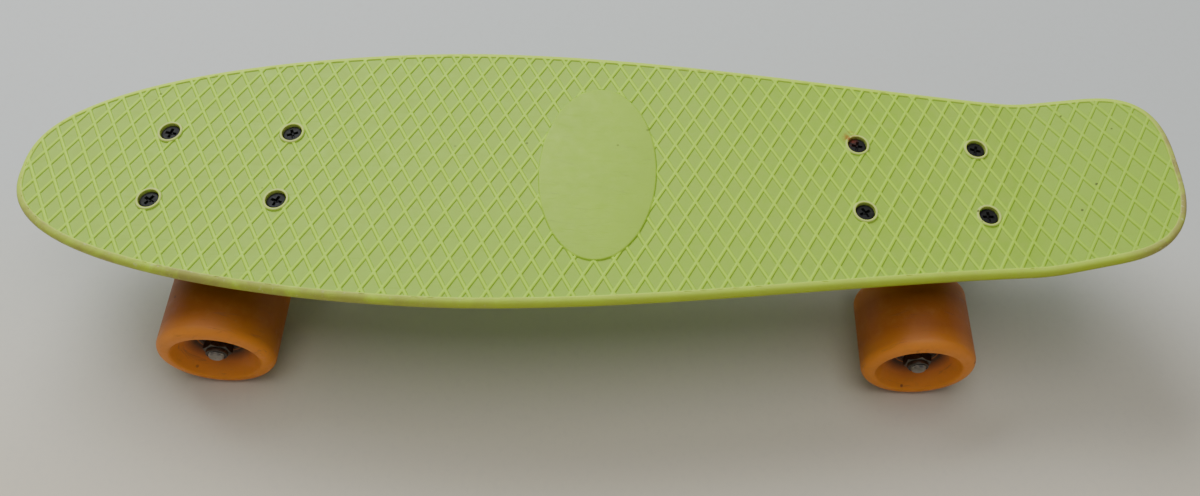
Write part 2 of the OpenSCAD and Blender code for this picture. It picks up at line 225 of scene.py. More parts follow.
class Plan:
    """Loops and lines in plan, turned into a sheet of triangles."""

    def __init__(self):
        self.points, self.edges = [], []

    def loop(self, pts):
        n = len(self.points)
        self.points += [tuple(p) for p in pts]
        self.edges += [(n + i, n + (i + 1) % len(pts)) for i in range(len(pts))]

    def line(self, p, q):
        n = len(self.points)
        self.points += [tuple(p), tuple(q)]
        self.edges.append((n, n + 1))

    def triangles(self):
        out = geometry.delaunay_2d_cdt(self.points, self.edges, [], 0, 1e-5, False)
        return np.array([tuple(v) for v in out[0]]), np.array(out[2])


def inside_loop(points, loop):
    """True for points inside a closed loop."""
    inside = np.zeros(len(points), bool)
    for a, b in zip(loop, np.roll(loop, -1, axis=0)):
        if a[1] == b[1]:
            continue
        hit = (a[1] > points[:, 1]) != (b[1] > points[:, 1])
        x = a[0] + (points[:, 1] - a[1]) / (b[1] - a[1]) * (b[0] - a[0])
        inside ^= hit & (points[:, 0] < x)
    return inside


def trim_sheet(xy, tris, loop):
    """Which triangles lie inside the loop and have area, with all of them turned the same way, and their
    middles.
    """
    mid = xy[tris].mean(axis=1)
    a, b, c = xy[tris[:, 0]], xy[tris[:, 1]], xy[tris[:, 2]]
    area = (b[:, 0] - a[:, 0]) * (c[:, 1] - a[:, 1]) - (b[:, 1] - a[:, 1]) * (c[:, 0] - a[:, 0])
    keep = inside_loop(mid, loop) & (np.abs(area) > 1e-7)
    flip = area < 0
    tris = tris.copy()
    tris[flip] = tris[flip][:, ::-1]
    return tris, keep, mid


def bolt_distance(p):
    return np.min([np.hypot(p[:, 0] - x, p[:, 1] - y) for x, y in BOLTS], axis=0)


def lattice_distance(p):
    """Distance from the nearest line of the lattice."""
    tilt = LATTICE_SLOPE / math.hypot(1, LATTICE_SLOPE)
    gaps = []
    for s in (1, -1):
        u = p[:, 0] - s * p[:, 1] / LATTICE_SLOPE
        gaps.append(np.abs(u - LATTICE * np.round(u / LATTICE)) * tilt)
    return np.minimum(*gaps)


def bend_lines(plan, loop):
    for x in np.arange(KICK_X - 2, KICK_X + 17, 2.5):
        for p, q in spans(np.array([x, 0.0]), np.array([0.0, 1.0]), loop):
            plan.line(p, q)


def top_sheet():
    """The deck's top face: a lattice of small ribs, the rim, the oval and the collars round the bolts."""
    plan = Plan()
    for inset in RIM_AT:
        plan.loop(outline(inset))
    for out in OVAL_AT:
        plan.loop(oval_loop(out))
    for x, y in BOLTS:
        for r in COLLAR_AT:
            plan.loop(circle(x, y, r))
    rim = outline(RIM_AT[1])
    discs = [(x, y, COLLAR_AT[-1] + 0.01) for x, y in BOLTS]
    tilt = LATTICE_SLOPE / math.hypot(1, LATTICE_SLOPE)
    reach = int((DECK_L / 2 + DECK_W / 2 / LATTICE_SLOPE) / LATTICE) + 1
    for s in (1, -1):
        run = np.array([1, s * LATTICE_SLOPE]) / math.hypot(1, LATTICE_SLOPE)
        for i in range(-reach, reach + 1):
            for half in RIB_HALF:
                for side in (-1, 1):
                    start = np.array([i * LATTICE + side * half / tilt, 0.0])
                    for p, q in spans(start, run, rim, discs, OVAL_AT[-1] + 0.01):
                        plan.line(p, q)
    bend_lines(plan, rim)
    xy, tris = plan.triangles()
    tris, keep, mid = trim_sheet(xy, tris, outline(RIM_AT[0]))
    keep &= bolt_distance(mid) > SINK_R * math.cos(math.pi / ROUND) - 0.005
    base = section_z(xy[:, 0])
    rim_rise = np.interp(distance_inside(xy), RIM_AT, RIM_RISE)
    ribs = np.interp(lattice_distance(xy), RIB_HALF, RIB_RISE)
    bolt_r = bolt_distance(xy)
    collar = np.interp(bolt_r, COLLAR_AT, COLLAR_RISE)
    off = oval_distance(xy)
    oval = np.interp(off, OVAL_AT, OVAL_RISE) + OVAL_Z - base
    cells = np.full(len(xy), CELL_FLOOR)
    rise = np.max([rim_rise, ribs, np.where(off < 0.5, oval, -9), cells], axis=0)
    round_collar = np.maximum(collar, np.where(bolt_r > COLLAR_MEETS_RIBS, rise, -9))
    rise = np.where(bolt_r < COLLAR_AT[-1] - 0.01, round_collar, rise)
    rise = np.where(off < 0.2, np.minimum(rise, np.maximum(oval, CELL_FLOOR)), rise)
    pos = np.column_stack([xy, base + rise])
    marks = {
        "relief": np.clip(1 - rise / CELL_FLOOR, 0, 1),
        "rim": np.interp(distance_inside(xy), (3.2, 3.9), (1, 0)),
        "collar": np.interp(bolt_r, (6.25, 6.6), (1, 0)),
        "oval": np.interp(off, (-0.3, 0.3), (1, 0)),
    }
    return pos, tris[keep], marks


def underside_sheet():
    """The deck's underside: a solid rim, pockets between moulded ribs, and flat seats for the trucks."""
    draft = 0.35
    half = RIB_T / 2
    seat = 0.4
    plan = Plan()
    for inset in (FOOT_IN, RIM_W, RIM_W + 0.5):
        plan.loop(outline(inset))
    inner = outline(RIM_W)
    x_ribs = np.arange(-7, 8) * RIB_PITCH
    for y in RIB_Y:
        for o in (-half - draft, -half, half, half + draft):
            for p, q in spans(np.array([0.0, y + o]), np.array([1.0, 0.0]), inner):
                plan.line(p, q)
    for x in x_ribs:
        for o in (-half - draft, -half, half, half + draft):
            for p, q in spans(np.array([x + o, 0.0]), np.array([0.0, 1.0]), inner):
                plan.line(p, q)
    for cx in (FRONT_X, REAR_X):
        for g in (0, seat):
            lx, ly = PAD_L / 2 + g, PAD_W / 2 + g
            plan.loop([(cx - lx, -ly), (cx + lx, -ly), (cx + lx, ly), (cx - lx, ly)])
    for x, y in BOLTS:
        plan.loop(circle(x, y, HOLE_R))
    bend_lines(plan, inner)
    xy, tris = plan.triangles()
    tris, keep, mid = trim_sheet(xy, tris, outline(FOOT_IN))
    keep &= bolt_distance(mid) > HOLE_R * math.cos(math.pi / ROUND) - 0.005
    gap_y = np.min([np.abs(xy[:, 1] - y) for y in RIB_Y], axis=0)
    gap_x = np.min([np.abs(xy[:, 0] - x) for x in x_ribs], axis=0)
    depth = np.max([
        np.interp(distance_inside(xy), (RIM_W, RIM_W + 0.5), (DECK_T, SKIN_T)),
        np.interp(gap_y, (half, half + draft), (DECK_T, SKIN_T)),
        np.interp(gap_x, (half, half + draft), (DECK_T, SKIN_T))], axis=0)
    z = np.zeros(len(xy))
    for d in np.unique(np.round(depth, 4)):
        pick = np.abs(depth - d) < 1e-3
        z[pick] = section_z(xy[pick, 0], -d)
    for cx in (FRONT_X, REAR_X):
        gap = np.maximum(np.abs(xy[:, 0] - cx) - PAD_L / 2, np.abs(xy[:, 1]) - PAD_W / 2)
        w = np.interp(gap, (1e-4, seat), (1, 0))
        z = z + (PAD_Z - z) * w
    pos = np.column_stack([xy, z])
    return pos, tris[keep][:, ::-1], {"relief": np.interp(depth, (SKIN_T, DECK_T), (0, 1))}


def strip(rings, closed=True):
    """Points and quads of a skin over rings of points, all of one count."""
    n = len(rings[0])
    faces = []
    for k in range(len(rings) - 1):
        a, b = k * n, (k + 1) * n
        last = n if closed else n - 1
        faces += [(a + i, a + (i + 1) % n, b + (i + 1) % n, b + i) for i in range(last)]
    return np.vstack(rings), faces


def mesh_object(name, parts, smooth=32):
    """One object from parts, each (points in mm, faces, marks), with points at the same place joined."""
    points = np.vstack([p[0] for p in parts])
    faces, start = [], 0
    for p in parts:
        faces += [tuple(int(v) + start for v in f) for f in p[1]]
        start += len(p[0])
    key = np.round(points / 2e-4).astype(np.int64)
    _, first, back = np.unique(key, axis=0, return_index=True, return_inverse=True)
    back = back.ravel()
    joined = []
    for f in faces:
        g = []
        for v in f:
            k = int(back[v])
            if not g or g[-1] != k:
                g.append(k)
        if len(g) > 1 and g[0] == g[-1]:
            g.pop()
        if len(set(g)) > 2:
            joined.append(tuple(g))
    mesh = bpy.data.meshes.new(name)
    mesh.from_pydata((points[first] * MM).tolist(), [], joined)
    names = sorted({k for p in parts for k in (p[2] if len(p) > 2 else {})})
    for k in names:
        values = np.concatenate([
            np.broadcast_to(np.asarray(p[2].get(k, 0.0) if len(p) > 2 else 0.0, float), (len(p[0]),))
            for p in parts])
        mesh.attributes.new(k, "FLOAT", "POINT").data.foreach_set("value", values[first].astype(np.float32))
    mesh.validate()
    mesh.shade_smooth()
    mesh.set_sharp_from_angle(angle=math.radians(smooth))
    obj = bpy.data.objects.new(name, mesh)
    bpy.context.scene.collection.objects.link(obj)
    return obj


def build_deck():
    parts = [top_sheet()]
    crest = math.asin(1 - RIM_AT[0] / BEAD_R)
    steps = [(BEAD_R * (1 - math.sin(a)), -BEAD_R * (1 - math.cos(a)))
             for a in np.linspace(crest, math.pi / 2, 7)]
    steps += [(BEAD_R * (1 - math.cos(a)), BEAD_R - BEAD_T - BEAD_R * math.sin(a))
              for a in np.linspace(0, math.pi / 4, 5)]
    steps += [(2.6, -7.55), (4.4, -9.3), (4.75, -9.8), (FOOT_IN, -DECK_T)]
    rings = []
    for inset, rise in steps:
        loop = outline(inset)
        rings.append(np.column_stack([loop, section_z(loop[:, 0], rise)]))
    points, faces = strip(rings)
    down = np.repeat(np.linspace(0, 1, len(rings)), len(rings[0]))
    parts.append((points, [f[::-1] for f in faces], {"relief": 1.0, "rim": 1.0, "side": down}))
    parts.append(underside_sheet())
    for x, y in BOLTS:
        wall = circle(x, y, SINK_R)
        hole = circle(x, y, HOLE_R)
        top = section_z(np.array([x]))[0]
        rings = [np.column_stack([wall, section_z(wall[:, 0]) + COLLAR_RISE[0]]),
                 np.column_stack([wall, np.full(ROUND, top - 1.2)]),
                 np.column_stack([wall, np.full(ROUND, top + SINK_FLOOR)]),
                 np.column_stack([hole, np.full(ROUND, top + SINK_FLOOR)]),
                 np.column_stack([hole, np.full(ROUND, PAD_Z)])]
        points, faces = strip(rings)
        parts.append((points, faces, {"relief": 1.0, "collar": 1.0}))
    # The bead's crest on the kicked tail keeps to the height of the CAD deck
    for part in parts:
        part[0][:, 2] = np.minimum(part[0][:, 2], cad_high[2] / MM)
    obj = mesh_object("deck_moulding", parts, 38)
    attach(obj, "deck")
    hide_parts("deck")
    return obj


# ---------------------------------------------------------------- round pieces
def lathe(profile, n=96, closed=True, twist=None):
    """A solid turned about z from (radius, height) points. twist(r, z, angle) may change the radius."""
    a = 2 * np.pi * np.arange(n) / n
    rings = []
    for r, z in profile:
        rr = np.full(n, float(r)) if twist is None else twist(r, z, a)
        rings.append(np.column_stack([rr * np.cos(a), rr * np.sin(a), np.full(n, float(z))]))
    if closed:
        rings.append(rings[0])
    return strip(rings)


def arc(cx, cy, r, a0, a1, n=8):
    a = np.radians(np.linspace(a0, a1, n + 1))
    return [(cx + r * math.cos(t), cy + r * math.sin(t)) for t in a]


def placed(part, origin, axis, x_axis=None):
    """Turns a part drawn about z so that z runs along axis, and moves it to origin."""
    z = np.array(axis, float) / np.linalg.norm(axis)
    x = np.array(x_axis if x_axis is not None else ((1, 0, 0) if abs(z[0]) < 0.9 else (0, 1, 0)), float)
    x = x - (x @ z) * z
    x /= np.linalg.norm(x)
    turn = np.column_stack([x, np.cross(z, x), z])
    return (part[0] @ turn.T + np.array(origin, float), part[1], *part[2:])


def hex_nut(across, height, bore, nylon=0.0):
    """A chamfered hexagon nut, z from 0 to height. nylon is the height of a lock nut's collar."""
    per_side = 8
    n = 6 * per_side
    a = 2 * np.pi * np.arange(n) / n
    flat = across / 2
    around = (a + np.pi / 6) % (np.pi / 3) - np.pi / 6
    hexagon = flat / np.cos(around)
    body = height - nylon
    cap = flat * 0.95
    drop = (hexagon - cap) * math.tan(math.radians(28))

    def ring(r, z):
        return np.column_stack([r * np.cos(a), r * np.sin(a), np.broadcast_to(z, (n,))])
    rings = [ring(np.full(n, bore), 0.35), ring(np.full(n, bore + 0.35), 0.0), ring(np.full(n, cap), 0.0),
             ring(hexagon, drop), ring(hexagon, body - drop), ring(np.full(n, cap), body)]
    if nylon:
        r = flat * 0.86
        rings += [ring(np.full(n, r), body), ring(np.full(n, r), height - 0.45),
                  ring(np.full(n, r - 0.15), height - 0.15), ring(np.full(n, r - 0.5), height),
                  ring(np.full(n, bore + 0.9), height), ring(np.full(n, bore + 0.75), height - 0.3),
                  ring(np.full(n, bore), height - 0.3)]
    else:
        rings += [ring(np.full(n, bore + 0.35), body), ring(np.full(n, bore), body - 0.35)]
    rings.append(rings[0])
    points, faces = strip(rings)
    marks = {}
    if nylon:
        level = np.zeros(len(rings))
        level[-4:-1] = 1
        marks = {"nylon": np.repeat(level, n)}
    return points, faces, marks


def thread(radius, pitch, z0, z1, depth, chamfer=0.8):
    """(profile, twist) of a threaded stretch of rod from z0 to z1, its end chamfered at z1."""
    rows = max(4, int((z1 - z0) / pitch * 8))
    profile = [(radius, z0 + (z1 - z0) * i / rows) for i in range(rows + 1)]

    def twist(r, z, a):
        wave = np.abs(((z / pitch - a / (2 * np.pi)) % 1.0) * 2 - 1)
        fade = min(1.0, max(0.0, (z - z0) / 0.6)) if z1 > z0 else 1.0
        full = r - depth * np.clip(wave * 1.3 - 0.15, 0, 1) * fade
        return np.minimum(full, r - max(0.0, z - (z1 - chamfer)) * 0.9)
    return profile, twist


def rod(radius, z0, z1, plain_to, pitch, depth, both=False, n=32):
    """A rod from z0 to z1 with a thread beyond plain_to, capped at its ends."""
    profile, twist = thread(radius, pitch, plain_to, z1, depth)
    points, faces = lathe(profile, n, False, twist)
    parts = [(points, faces)]
    end = points[-n:]
    centre = end.mean(axis=0)
    cap = np.vstack([end, centre + (0, 0, -0.25)])
    parts.append((cap, [(i, (i + 1) % n, n) for i in range(n)]))
    if both:
        mirror = [(np.column_stack([p[:, 0], -p[:, 1], z0 + z1 - p[:, 2]]), f) for p, f in parts]
        parts += mirror
        low = z0 + z1 - plain_to
    else:
        low = z0
    plain, plain_faces = lathe([(radius, low), (radius, plain_to)], n, False)
    parts.append((plain, plain_faces))
    if not both:
        ring = plain[:n]
        parts.append((np.vstack([ring, ring.mean(axis=0)]), [((i + 1) % n, i, n) for i in range(n)]))
    return join(parts)


def join(parts):
    """One (points, faces, marks) from several."""
    points, faces, start = [], [], 0
    names = sorted({k for p in parts for k in (p[2] if len(p) > 2 else {})})
    marks = {k: [] for k in names}
    for p in parts:
        points.append(p[0])
        faces += [tuple(v + start for v in f) for f in p[1]]
        start += len(p[0])
        for k in names:
            value = p[2].get(k, 0.0) if len(p) > 2 else 0.0
            marks[k].append(np.broadcast_to(np.asarray(value, float), (len(p[0]),)))
    return np.vstack(points), faces, {k: np.concatenate(v) for k, v in marks.items()}


def cross_head():
    """A low bolt head with a cross recess. Its top is at z = 0 and it is BOLT_HEAD_H high."""
    plan = Plan()
    side_top = -0.75
    loops = [(BOLT_HEAD_R, side_top), (4.72, -0.42), (4.5, -0.16), (4.1, -0.03), (3.6, 0.0)]
    for r, _ in loops:
        plan.loop(circle(0, 0, r, 40))

    def cross(wing, half):
        """A cross of four arms that reach out to wing, each twice half wide."""
        pts = []
        for k in range(4):
            c, s = math.cos(k * math.pi / 2), math.sin(k * math.pi / 2)
            for x, y in ((half, -half), (wing, -half), (wing, half)):
                pts.append((x * c - y * s, x * s + y * c))
        return pts
    outer, inner = cross(2.95, 0.80), cross(2.1, 0.46)
    plan.loop(outer)
    plan.loop(inner)
    plan.loop(circle(0, 0, 0.2, 8))
    xy, tris = plan.triangles()
    area = np.cross(xy[tris[:, 1]] - xy[tris[:, 0]], xy[tris[:, 2]] - xy[tris[:, 0]])
    tris[area < 0] = tris[area < 0][:, ::-1]
    tris = tris[np.abs(area) > 1e-8]
    r = np.hypot(xy[:, 0], xy[:, 1])
    z = np.interp(r, [q[0] for q in loops[::-1]], [q[1] for q in loops[::-1]])
    for p, q in inner:
        z[np.hypot(xy[:, 0] - p, xy[:, 1] - q) < 1e-4] = -1.5
    z[r < 0.25] = -2.1
    top = (np.column_stack([xy, z]), [tuple(t) for t in tris], {"recess": np.where(z < -1.2, 1.0, 0.0)})
    edge = circle(0, 0, BOLT_HEAD_R, 40)
    shank = circle(0, 0, BOLT_R, 40)
    rings = [np.column_stack([edge, np.full(40, h)]) for h in (side_top, -BOLT_HEAD_H)]
    rings.append(np.column_stack([shank, np.full(40, -BOLT_HEAD_H)]))
    points, faces = strip(rings)
    return [top, (points, [f[::-1] for f in faces])]


def build_bolts():
    rng = np.random.default_rng(7)
    parts, nuts = [], []
    for x, y in BOLTS:
        top = float(section_z(np.array([x]))[0]) - BOLT_SINK
        spin = rng.uniform(0, math.pi / 2)
        toward = (math.cos(spin), math.sin(spin), 0)
        for p in cross_head():
            parts.append(placed(p, (x, y, top), (0, 0, 1), toward))
        shank = rod(BOLT_R, BOLT_HEAD_H - 0.4, BOLT_L, BOLT_PLAIN, BOLT_PITCH, 0.42)
        parts.append(placed(shank, (x, y, top), (0, 0, -1), toward))
        nuts.append(placed(hex_nut(*BOLT_NUT, BOLT_R - 0.1, 1.5), (x, y, PAD_Z - PLATE_T), (0, 0, -1),
                           (math.cos(spin * 2), math.sin(spin * 2), 0)))
    bolts = mesh_object("truck_bolts", parts, 30)
    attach(bolts, "deck")
    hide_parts("deck_bolts")
    lock = mesh_object("truck_bolt_nuts", nuts, 30)
    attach(lock, "deck")
    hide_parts("deck_nuts")
    return bolts, lock


# ---------------------------------------------------------------- wheels and axles
WHEEL_R, WHEEL_HALF, LIP_R = 29.5, 22.5, 5.0
DISH_R, DISH_EDGE_R = 23.6, 1.8
SEAT_R, LAND_R, SPACER_HALF, PACK_H = 11, 9.4, 5, 12.0
WHEEL_Y = 59.0
AXLE_Z = 29.5
AXLE_X = {"front": FRONT_X, "rear": REAR_X}
AXLE_R, AXLE_HALF = 3.97, 80.5
AXLE_THREAD_L = 11
THREAD_PITCH = 1.06
AXLE_NUT = (12.7, 7)


def wheel_profile():
    """Section of a wheel: its outer lip and dish, the two bearing seats, the inner recess and the tread."""
    r, h = WHEEL_R, WHEEL_HALF
    profile = arc(r - LIP_R, h - LIP_R, LIP_R, 0, 90, 14)
    profile += arc(DISH_R, h - DISH_EDGE_R, DISH_EDGE_R, 90, 150, 8)
    profile += [(21.0, 19.6), (19.4, 17.6), (17.2, 15.6), (14.9, 13.9), (13.3, 13.05), (12.4, 12.5)]
    profile += [(11.7, 12.1), (SEAT_R, PACK_H), (SEAT_R, SPACER_HALF), (LAND_R, SPACER_HALF)]
    profile += [(LAND_R, -SPACER_HALF), (SEAT_R, -SPACER_HALF), (SEAT_R, -PACK_H), (11.9, -PACK_H)]
    profile += [(12.3, -12.4), (16.4, -20.6), (17.0, -21.3), (18.0, -22.2), (19.2, -h)]
    profile += arc(r - LIP_R, LIP_R - h, LIP_R, -90, 0, 14)
    profile += [(r, -9), (r, -3), (r, 3), (r, 9)]
    return profile


def wheel_frame(corner):
    """A wheel's middle, its outward axis and its end of the board."""
    end = corner.split("_")[0]
    out = -1 if corner.endswith("left") else 1
    return np.array([AXLE_X[end], out * WHEEL_Y, AXLE_Z]), np.array([0.0, out, 0.0]), end


def build_wheel(corner):
    """One urethane wheel. Its marks say where the lips and outer face get a painted highlight, where the dish
    gets painted shade, and where, deep in the dish round the bearing, it gets near-black painted shade with
    some grime.
    """
    origin, axis, _ = wheel_frame(corner)
    points, faces = lathe(wheel_profile(), 144)
    reach = np.hypot(points[:, 0], points[:, 1])
    in_dish = (points[:, 2] > PACK_H + 0.05) & (reach < 23.3)
    # Deep in the dish round the bearing: near-black painted shade, with some grime.
    grime = in_dish * np.interp(reach, (12.5, 17.5), (1, 0))
    # dish marks the inside of the dish, which is painted darker towards its middle as painted shade.
    dish = in_dish * np.interp(reach, (15.5, 21.5), (1, 0))
    # lip marks the lips and the outer face, which the finish paints brighter as a painted highlight.
    lip_from = WHEEL_HALF - LIP_R - 2.5
    lip = np.maximum(np.interp(np.abs(points[:, 2]), (lip_from, WHEEL_HALF - 1.0), (0, 1)), in_dish)
    part = (points, [f[::-1] for f in faces], {"dish": dish, "lip": lip, "grime": grime})
    part = placed(part, origin, axis)
    obj = mesh_object(f"{corner}_tyre", [part], 40)
    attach(obj, f"{corner}_wheel")
    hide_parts(f"{corner}_wheel")
    return obj


def build_axle(end):
    x = AXLE_X[end]
    shaft = rod(AXLE_R, -AXLE_HALF, AXLE_HALF, AXLE_HALF - AXLE_THREAD_L, THREAD_PITCH, 0.45, both=True, n=40)
    part = placed(shaft, (x, 0, AXLE_Z), (0, 1, 0))
    obj = mesh_object(f"{end}_axle_rod", [part], 30)
    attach(obj, f"{end}_hanger")
    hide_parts(f"{end}_axle")
    return obj


def build_axle_nut(corner, spin):
    origin, axis, end = wheel_frame(corner)
    part = hex_nut(*AXLE_NUT, AXLE_R - 0.12, 1.9)
    part = placed(part, origin + axis * (PACK_H + 1.05), axis, (math.cos(spin), 0, math.sin(spin)))
    obj = mesh_object(f"{corner}_lock_nut", [part], 30)
    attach(obj, f"{end}_hanger")
    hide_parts(f"{corner}_axle_nut")
    return obj


# ---------------------------------------------------------------- trucks
RING_X, RING_Z, RING_T = 22, 44, 6.5
KINGPIN_TILT = math.radians(25)
KINGPIN_R = 4.76
WASHER_T, CUP_DEPTH, GAP = 1.2, 2.6, 0.05
LOWER_H, UPPER_H = 12.4, 9.9
SEAT_T = RING_T / 2 + LOWER_H + 2 * GAP + WASHER_T
NUT_T = RING_T / 2 + UPPER_H + 2 * GAP + WASHER_T
NUT_H, HEAD_H, HEAD_SEAT = 9.5, 5.5, 6.0
HEX = 14.3
CAST_VOXEL = 0.0006


def kingpin_line(end):
    """Middle of the hanger's ring, and the kingpin's direction towards the road."""
    out = 1 if end == "rear" else -1
    origin = np.array([AXLE_X[end] - out * RING_X, 0.0, RING_Z])
    return origin, np.array([-out * math.sin(KINGPIN_TILT), 0.0, -math.cos(KINGPIN_TILT)])


def bushing_part(low, high, r_low, r_high):
    """A urethane bushing between two heights: rounded ends, a shallow waist and a mould line."""
    h, edge, bore = high - low, 0.9, KINGPIN_R + 0.15
    profile = [(bore, high - 0.4), (bore, low + 0.4), (bore + 0.4, low)]
    profile += [(r, low + z) for r, z in arc(r_low - edge, edge, edge, -90, 0, 5)]
    rows = 14
    for i in range(1, rows):
        t = i / rows
        line = 0.12 if i in (rows // 2 - 1, rows // 2) else 0.0
        r = r_low + (r_high - r_low) * t - 0.5 * math.sin(math.pi * t) ** 2 + line
        profile.append((r, low + edge + (h - 2 * edge) * t))
    profile += [(r, high + z) for r, z in arc(r_high - edge, -edge, edge, 0, 90, 5)]
    profile.append((bore + 0.4, high))
    points, faces = lathe(profile, 72)
    return points, [f[::-1] for f in faces]


def washer_part(seat, lip, r):
    """A cupped washer whose flat back is at seat; its lip reaches lip further along the kingpin."""
    d = math.copysign(1.0, lip)
    t, bore = WASHER_T * d, KINGPIN_R + 0.2
    profile = [(bore, seat + t), (bore, seat), (r - 1.0, seat), (r - 0.3, seat + 0.25 * d),
               (r, seat + 0.9 * d), (r, seat + lip - 0.2 * d), (r - 0.25, seat + lip),
               (r - 0.6, seat + lip - 0.15 * d), (r - 0.7, seat + t + 0.35 * d), (r - 1.3, seat + t)]
    points, faces = lathe(profile, 72)
    return points, faces if d < 0 else [f[::-1] for f in faces]


def build_truck_hardware(end):
    """Kingpin, nut, washers and the two bushings, which bend between the baseplate and the hanger."""
    origin, axis = kingpin_line(end)
    side = (0, 1, 0)
    back = -SEAT_T - HEAD_SEAT
    shank = rod(KINGPIN_R, back - 1, NUT_T + NUT_H + 2, NUT_T - 3, THREAD_PITCH, 0.5, n=40)
    head = hex_nut(HEX, HEAD_H - GAP, 0.6)
    head = (head[0] + (0, 0, back - HEAD_H + GAP), *head[1:])
    kingpin = mesh_object(f"{end}_kingpin_bolt", [placed(p, origin, axis, side) for p in (shank, head)],
                          30)
    nut = placed(hex_nut(HEX, NUT_H, KINGPIN_R - 0.15, 2.4), origin + axis * NUT_T, axis, side)
    nut = mesh_object(f"{end}_kingpin_lock_nut", [nut], 30)
    low = placed(washer_part(-SEAT_T, CUP_DEPTH, 12.5), origin, axis)
    low = mesh_object(f"{end}_cupped_washer_board", [low], 30)
    top = placed(washer_part(NUT_T, -CUP_DEPTH, 11), origin, axis)
    top = mesh_object(f"{end}_cupped_washer_road", [top], 30)
    replaced = ((kingpin, "kingpin"), (nut, "kingpin_nut"), (low, "bottom_washer"), (top, "top_washer"))
    for obj, node in replaced:
        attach(obj, "deck")
        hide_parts(f"{end}_{node}")
        paint(obj, MATERIAL["zinc_steel"])
    ring = RING_T / 2 + GAP
    for node, ends, radii, fixed in (
            ("lower_bushing", (WASHER_T + GAP - SEAT_T, -ring), (11.5, 11.5), 0),
            ("upper_bushing", (ring, ring + UPPER_H), (11.5, 9.6), 1)):
        obj = mesh_object(f"{end}_{node}_urethane", [placed(bushing_part(*ends, *radii), origin, axis)],
                          40)
        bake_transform(obj)
        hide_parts(f"{end}_{node}")
        paint(obj, MATERIAL["bushing_urethane"])


def build_casting(node, body):
    """A cast piece in the CAD node's shape, with its edges and inside corners rounded as a casting's are."""
    source = NODES[node]
    graph = bpy.context.evaluated_depsgraph_get()
    mesh = bpy.data.meshes.new_from_object(source.evaluated_get(graph))
    mesh.transform(source.matrix_world)
    obj = bpy.data.objects.new(f"{node}_casting", mesh)
    bpy.context.scene.collection.objects.link(obj)
    voxels = obj.modifiers.new("voxels", "REMESH")
    voxels.mode = "VOXEL"
    voxels.voxel_size = CAST_VOXEL
    soften = obj.modifiers.new("soften", "SMOOTH")
    soften.factor = 0.5
    soften.iterations = 7
    fewer = obj.modifiers.new("fewer", "DECIMATE")
    fewer.ratio = 0.45
    graph = bpy.context.evaluated_depsgraph_get()
    graph.update()
    final = bpy.data.meshes.new_from_object(obj.evaluated_get(graph))
    obj.modifiers.clear()
    obj.data = final
    final.shade_smooth()
    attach(obj, body)
    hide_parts(node)
    return paint(obj, MATERIAL["truck_alloy"])


